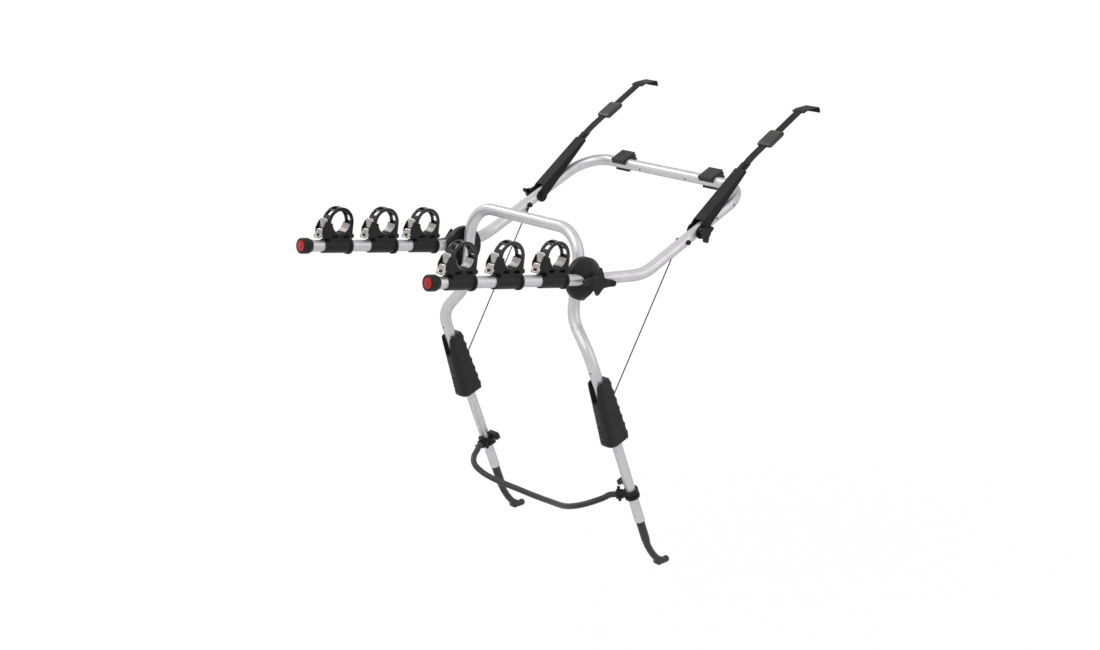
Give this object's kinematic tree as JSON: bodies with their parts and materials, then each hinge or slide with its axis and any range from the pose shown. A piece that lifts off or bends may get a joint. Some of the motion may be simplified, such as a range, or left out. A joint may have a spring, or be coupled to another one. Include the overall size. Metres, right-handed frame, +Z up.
{
  "type": "trunk mounted bike rack",
  "caption": "Folding rear rack of silver tube that hooks onto a tailgate, with strap cradles on two swinging arms for carrying bicycles.",
  "frame": {"origin": "midway between the centres of the two foot hooks' crooks, where the tailgate's lower edge sits", "axes": "+X to the rack's right as seen facing the car, +Y towards the car, +Z up"},
  "size_m": [0.652, 1.2191, 1.1051],
  "materials": {
    "silver_tube": "satin silver powder coat",
    "black_plastic": "moulded black plastic with a fine grain",
    "black_rubber": "moulded black rubber",
    "black_coat": "black powder coated steel",
    "zinc_steel": "zinc plated steel",
    "grey_pad": "grey soft rubber",
    "silver_buckle": "satin metal",
    "gloss_strap": "smooth black plastic",
    "red_reflector": "red reflector with a prism pattern",
    "wire_coat": "black plastic coated steel wire",
    "brass_screw": "yellow zinc plated screw"
  },
  "bodies": {
    "lower_frame": {"lower_frame": "silver_tube", "hub_bases": "black_plastic", "hub_bolts": "black_coat", "leg_bumpers": "black_rubber", "leg_springs": "zinc_steel"},
    "upper_frame": {"upper_frame": "silver_tube", "frame_feet": "black_rubber", "frame_bolts": "black_coat", "tension_wires": "wire_coat"},
    "legs": {"lower_legs": "silver_tube", "foot_hooks": "black_rubber", "hose_clamps": "black_plastic", "clamp_screws": "brass_screw", "hose": "black_rubber"},
    "left_arm": {"arm_tube_left": "silver_tube", "hub_cover_left": "black_plastic", "arm_cap_left": "black_plastic", "reflector_left": "red_reflector"},
    "left_hub_knob": {"hub_knob_left": "black_plastic"},
    "left_hook_channel": {"hook_channel_left": "black_coat"},
    "left_hook_band": {"hook_band_left": "black_coat"},
    "left_hook_knob": {"hook_knob_left": "black_plastic"},
    "left_cradle_1": {"left_cradle_1_base": "black_plastic", "left_cradle_1_pads": "grey_pad"},
    "left_cradle_1_strap": {"left_cradle_1_strap": "gloss_strap"},
    "left_cradle_1_lever": {"left_cradle_1_lever": "silver_buckle"},
    "left_cradle_1_release": {"left_cradle_1_release": "silver_buckle"},
    "left_cradle_2": {"left_cradle_2_base": "black_plastic", "left_cradle_2_pads": "grey_pad"},
    "left_cradle_2_strap": {"left_cradle_2_strap": "gloss_strap"},
    "left_cradle_2_lever": {"left_cradle_2_lever": "silver_buckle"},
    "left_cradle_2_release": {"left_cradle_2_release": "silver_buckle"},
    "left_cradle_3": {"left_cradle_3_base": "black_plastic", "left_cradle_3_pads": "grey_pad"},
    "left_cradle_3_strap": {"left_cradle_3_strap": "gloss_strap"},
    "left_cradle_3_lever": {"left_cradle_3_lever": "silver_buckle"},
    "left_cradle_3_release": {"left_cradle_3_release": "silver_buckle"},
    "right_arm": {"arm_tube_right": "silver_tube", "hub_cover_right": "black_plastic", "arm_cap_right": "black_plastic", "reflector_right": "red_reflector"},
    "right_hub_knob": {"hub_knob_right": "black_plastic"},
    "right_hook_channel": {"hook_channel_right": "black_coat"},
    "right_hook_band": {"hook_band_right": "black_coat"},
    "right_hook_knob": {"hook_knob_right": "black_plastic"},
    "right_cradle_1": {"right_cradle_1_base": "black_plastic", "right_cradle_1_pads": "grey_pad"},
    "right_cradle_1_strap": {"right_cradle_1_strap": "gloss_strap"},
    "right_cradle_1_lever": {"right_cradle_1_lever": "silver_buckle"},
    "right_cradle_1_release": {"right_cradle_1_release": "silver_buckle"},
    "right_cradle_2": {"right_cradle_2_base": "black_plastic", "right_cradle_2_pads": "grey_pad"},
    "right_cradle_2_strap": {"right_cradle_2_strap": "gloss_strap"},
    "right_cradle_2_lever": {"right_cradle_2_lever": "silver_buckle"},
    "right_cradle_2_release": {"right_cradle_2_release": "silver_buckle"},
    "right_cradle_3": {"right_cradle_3_base": "black_plastic", "right_cradle_3_pads": "grey_pad"},
    "right_cradle_3_strap": {"right_cradle_3_strap": "gloss_strap"},
    "right_cradle_3_lever": {"right_cradle_3_lever": "silver_buckle"},
    "right_cradle_3_release": {"right_cradle_3_release": "silver_buckle"}
  },
  "joints": [
    {"name": "upper_fold", "type": "hinge", "parent": "lower_frame", "child": "upper_frame", "pos_m": [0, -0.22822, 0.73411], "axis": [1, 0, 0], "range_deg": [-75, 0], "deforming": ["tension_wires"]},
    {"name": "leg_slide", "type": "slide", "parent": "lower_frame", "child": "legs", "axis": [0, 0.3535, -0.9354], "range_m": [0, 0.04], "stiffness_N_per_m": 600, "springref_m": -0.05, "deforming": ["leg_springs"]},
    {"name": "left_arm_fold", "type": "hinge", "parent": "lower_frame", "child": "left_arm", "pos_m": [0, -0.22822, 0.73411], "axis": [1, 0, 0], "range_deg": [0, 65]},
    {"name": "left_hub_knob_turn", "type": "hinge", "parent": "lower_frame", "child": "left_hub_knob", "pos_m": [0, -0.22822, 0.73411], "axis": [1, 0, 0], "continuous": true},
    {"name": "left_hook_tilt", "type": "hinge", "parent": "upper_frame", "child": "left_hook_channel", "pos_m": [-0.289, 0.08478, 0.81267], "axis": [1, 0, 0], "range_deg": [-6, 60]},
    {"name": "left_hook_slide", "type": "slide", "parent": "left_hook_channel", "child": "left_hook_band", "axis": [0, 0.8059, 0.592], "range_m": [0, 0.05]},
    {"name": "left_hook_knob_turn", "type": "hinge", "parent": "upper_frame", "child": "left_hook_knob", "pos_m": [-0.289, 0.08478, 0.81267], "axis": [1, 0, 0], "continuous": true},
    {"name": "left_cradle_1_slide", "type": "slide", "parent": "left_arm", "child": "left_cradle_1", "axis": [0, -0.9882, 0.153], "range_m": [-0.02, 0]},
    {"name": "left_cradle_1_strap_turn", "type": "hinge", "parent": "left_cradle_1", "child": "left_cradle_1_strap", "pos_m": [-0.239, -0.30661, 0.77255], "axis": [1, 0, 0], "range_deg": [-40, 0]},
    {"name": "left_cradle_1_lever_turn", "type": "hinge", "parent": "left_cradle_1", "child": "left_cradle_1_lever", "pos_m": [-0.239, -0.3866, 0.79607], "axis": [1, 0, 0], "range_deg": [-60, 0]},
    {"name": "left_cradle_1_release_turn", "type": "hinge", "parent": "left_cradle_1", "child": "left_cradle_1_release", "pos_m": [-0.239, -0.37742, 0.81286], "axis": [1, 0, 0], "range_deg": [-12, 0], "stiffness_Nm_per_rad": 0.05, "springref_deg": 2.86},
    {"name": "left_cradle_2_slide", "type": "slide", "parent": "left_arm", "child": "left_cradle_2", "axis": [0, -0.9882, 0.153], "range_m": [-0.02, 0]},
    {"name": "left_cradle_2_strap_turn", "type": "hinge", "parent": "left_cradle_2", "child": "left_cradle_2_strap", "pos_m": [-0.239, -0.43508, 0.79244], "axis": [1, 0, 0], "range_deg": [-40, 0]},
    {"name": "left_cradle_2_lever_turn", "type": "hinge", "parent": "left_cradle_2", "child": "left_cradle_2_lever", "pos_m": [-0.239, -0.51507, 0.81595], "axis": [1, 0, 0], "range_deg": [-60, 0]},
    {"name": "left_cradle_2_release_turn", "type": "hinge", "parent": "left_cradle_2", "child": "left_cradle_2_release", "pos_m": [-0.239, -0.50589, 0.83275], "axis": [1, 0, 0], "range_deg": [-12, 0], "stiffness_Nm_per_rad": 0.05, "springref_deg": 2.86},
    {"name": "left_cradle_3_slide", "type": "slide", "parent": "left_arm", "child": "left_cradle_3", "axis": [0, -0.9882, 0.153], "range_m": [-0.02, 0]},
    {"name": "left_cradle_3_strap_turn", "type": "hinge", "parent": "left_cradle_3", "child": "left_cradle_3_strap", "pos_m": [-0.239, -0.57145, 0.81355], "axis": [1, 0, 0], "range_deg": [-40, 0]},
    {"name": "left_cradle_3_lever_turn", "type": "hinge", "parent": "left_cradle_3", "child": "left_cradle_3_lever", "pos_m": [-0.239, -0.65145, 0.83707], "axis": [1, 0, 0], "range_deg": [-60, 0]},
    {"name": "left_cradle_3_release_turn", "type": "hinge", "parent": "left_cradle_3", "child": "left_cradle_3_release", "pos_m": [-0.239, -0.64227, 0.85386], "axis": [1, 0, 0], "range_deg": [-12, 0], "stiffness_Nm_per_rad": 0.05, "springref_deg": 2.86},
    {"name": "right_arm_fold", "type": "hinge", "parent": "lower_frame", "child": "right_arm", "pos_m": [0, -0.22822, 0.73411], "axis": [1, 0, 0], "range_deg": [0, 65]},
    {"name": "right_hub_knob_turn", "type": "hinge", "parent": "lower_frame", "child": "right_hub_knob", "pos_m": [0, -0.22822, 0.73411], "axis": [1, 0, 0], "continuous": true},
    {"name": "right_hook_tilt", "type": "hinge", "parent": "upper_frame", "child": "right_hook_channel", "pos_m": [0.289, 0.08478, 0.81267], "axis": [1, 0, 0], "range_deg": [-6, 60]},
    {"name": "right_hook_slide", "type": "slide", "parent": "right_hook_channel", "child": "right_hook_band", "axis": [0, 0.8059, 0.592], "range_m": [0, 0.05]},
    {"name": "right_hook_knob_turn", "type": "hinge", "parent": "upper_frame", "child": "right_hook_knob", "pos_m": [0.289, 0.08478, 0.81267], "axis": [1, 0, 0], "continuous": true},
    {"name": "right_cradle_1_slide", "type": "slide", "parent": "right_arm", "child": "right_cradle_1", "axis": [0, -0.9882, 0.153], "range_m": [-0.02, 0]},
    {"name": "right_cradle_1_strap_turn", "type": "hinge", "parent": "right_cradle_1", "child": "right_cradle_1_strap", "pos_m": [0.239, -0.30562, 0.7724], "axis": [1, 0, 0], "range_deg": [-40, 0]},
    {"name": "right_cradle_1_lever_turn", "type": "hinge", "parent": "right_cradle_1", "child": "right_cradle_1_lever", "pos_m": [0.239, -0.38561, 0.79591], "axis": [1, 0, 0], "range_deg": [-60, 0]},
    {"name": "right_cradle_1_release_turn", "type": "hinge", "parent": "right_cradle_1", "child": "right_cradle_1_release", "pos_m": [0.239, -0.37644, 0.81271], "axis": [1, 0, 0], "range_deg": [-12, 0], "stiffness_Nm_per_rad": 0.05, "springref_deg": 2.86},
    {"name": "right_cradle_2_slide", "type": "slide", "parent": "right_arm", "child": "right_cradle_2", "axis": [0, -0.9882, 0.153], "range_m": [-0.02, 0]},
    {"name": "right_cradle_2_strap_turn", "type": "hinge", "parent": "right_cradle_2", "child": "right_cradle_2_strap", "pos_m": [0.239, -0.44496, 0.79397], "axis": [1, 0, 0], "range_deg": [-40, 0]},
    {"name": "right_cradle_2_lever_turn", "type": "hinge", "parent": "right_cradle_2", "child": "right_cradle_2_lever", "pos_m": [0.239, -0.52495, 0.81748], "axis": [1, 0, 0], "range_deg": [-60, 0]},
    {"name": "right_cradle_2_release_turn", "type": "hinge", "parent": "right_cradle_2", "child": "right_cradle_2_release", "pos_m": [0.239, -0.51577, 0.83428], "axis": [1, 0, 0], "range_deg": [-12, 0], "stiffness_Nm_per_rad": 0.05, "springref_deg": 2.86},
    {"name": "right_cradle_3_slide", "type": "slide", "parent": "right_arm", "child": "right_cradle_3", "axis": [0, -0.9882, 0.153], "range_m": [-0.02, 0]},
    {"name": "right_cradle_3_strap_turn", "type": "hinge", "parent": "right_cradle_3", "child": "right_cradle_3_strap", "pos_m": [0.239, -0.5843, 0.81554], "axis": [1, 0, 0], "range_deg": [-40, 0]},
    {"name": "right_cradle_3_lever_turn", "type": "hinge", "parent": "right_cradle_3", "child": "right_cradle_3_lever", "pos_m": [0.239, -0.66429, 0.83905], "axis": [1, 0, 0], "range_deg": [-60, 0]},
    {"name": "right_cradle_3_release_turn", "type": "hinge", "parent": "right_cradle_3", "child": "right_cradle_3_release", "pos_m": [0.239, -0.65512, 0.85585], "axis": [1, 0, 0], "range_deg": [-12, 0], "stiffness_Nm_per_rad": 0.05, "springref_deg": 2.86}
  ]
}
